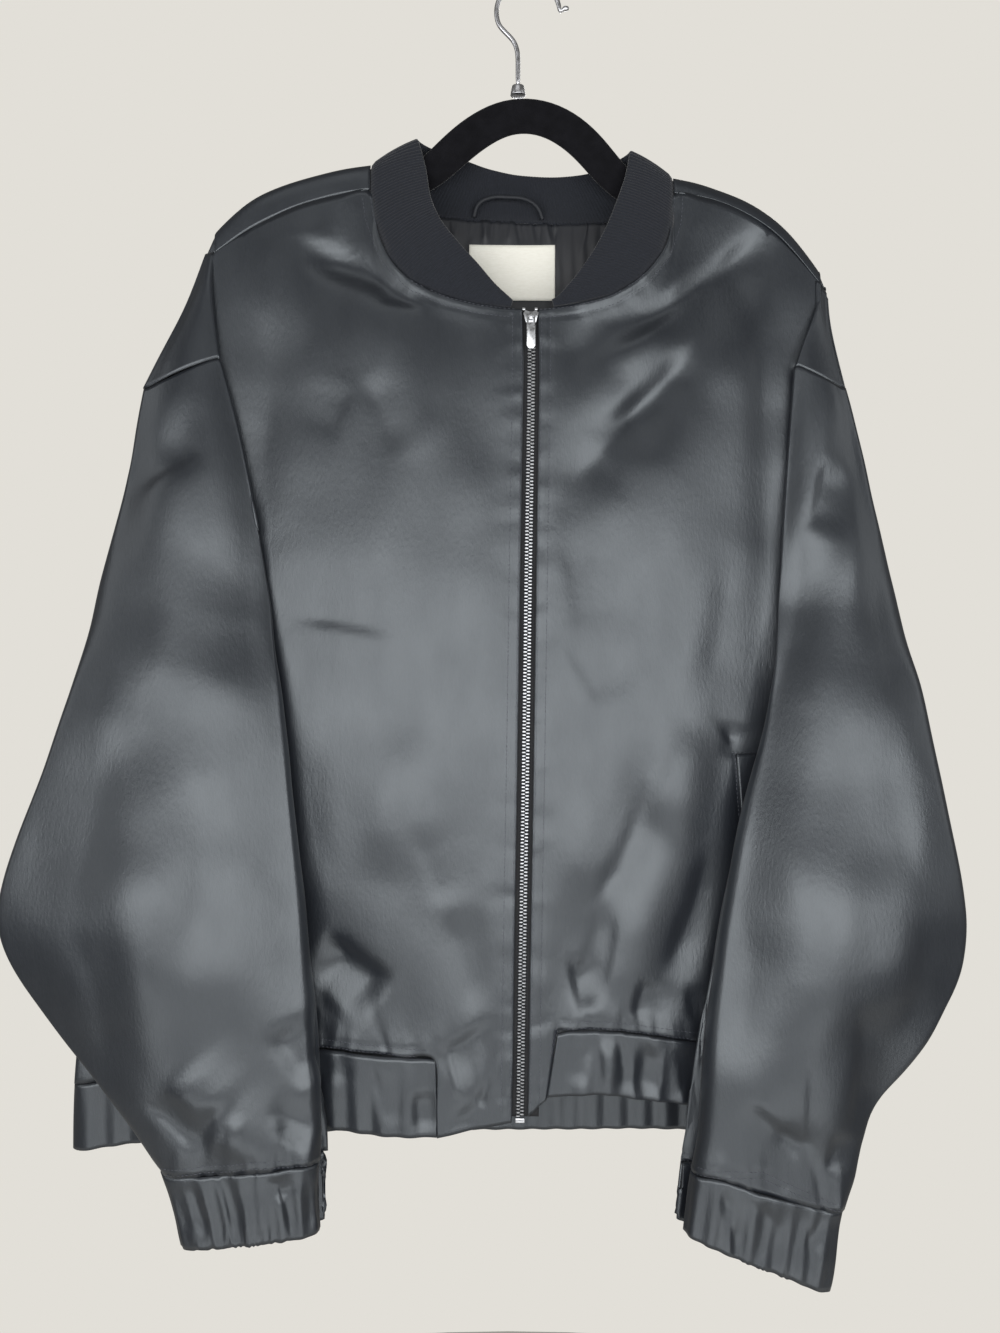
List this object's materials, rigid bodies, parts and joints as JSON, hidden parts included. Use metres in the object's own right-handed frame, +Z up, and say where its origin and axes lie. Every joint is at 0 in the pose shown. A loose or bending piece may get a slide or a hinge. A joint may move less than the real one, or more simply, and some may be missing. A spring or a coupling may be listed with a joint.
{
  "type": "bomber jacket on a hanger",
  "caption": "Zipped satin bomber jacket with rib collar, balloon sleeves, gathered cuffs and hem band, hanging on a flat velvet hanger with a wire hook.",
  "frame": {"origin": "inside top of the hanger's hook, where a rod carries it", "axes": "+Z up, the jacket's front faces -Y, the wearer's left is +X, millimetres in the source"},
  "size_m": [0.7127, 0.1159, 0.9854],
  "materials": {
    "satin": "satin weave, semi-gloss",
    "lining": "plain lining, soft sheen",
    "rib_knit": "matte rib knit",
    "zip_tape": "matte woven tape",
    "label": "matte woven label, bare",
    "velvet": "flocked velvet",
    "zip_metal": "polished nickel",
    "chrome": "polished wire"
  },
  "bodies": {
    "jacket": {"front_right": "satin", "front_left": "satin", "back": "satin", "sleeve_right": "satin", "sleeve_left": "satin", "cuff_right": "satin", "cuff_left": "satin", "hem_band": "satin", "hanger_loop": "satin", "pocket_welt_right": "satin", "pocket_welt_left": "satin", "collar": "rib_knit", "lining_back_neck": "lining", "neck_label": "label", "hanger_bar": "velvet", "hanger_ferrule": "chrome", "hanger_hook": "chrome", "zip_tape_right": "zip_tape", "zip_tape_left": "zip_tape", "zip_teeth_right": "zip_metal", "zip_teeth_left": "zip_metal", "zip_slider": "zip_metal", "zip_top_stop_right": "zip_metal", "zip_top_stop_left": "zip_metal", "zip_bottom_stop": "zip_metal"},
    "pull": {"zip_pull": "zip_metal"}
  },
  "joints": [
    {"name": "pull_hinge", "type": "hinge", "parent": "jacket", "child": "pull", "pos_m": [0.00156, -0.03132, -0.265], "axis": [-1, 0, 0], "range_deg": [0, 170]}
  ]
}
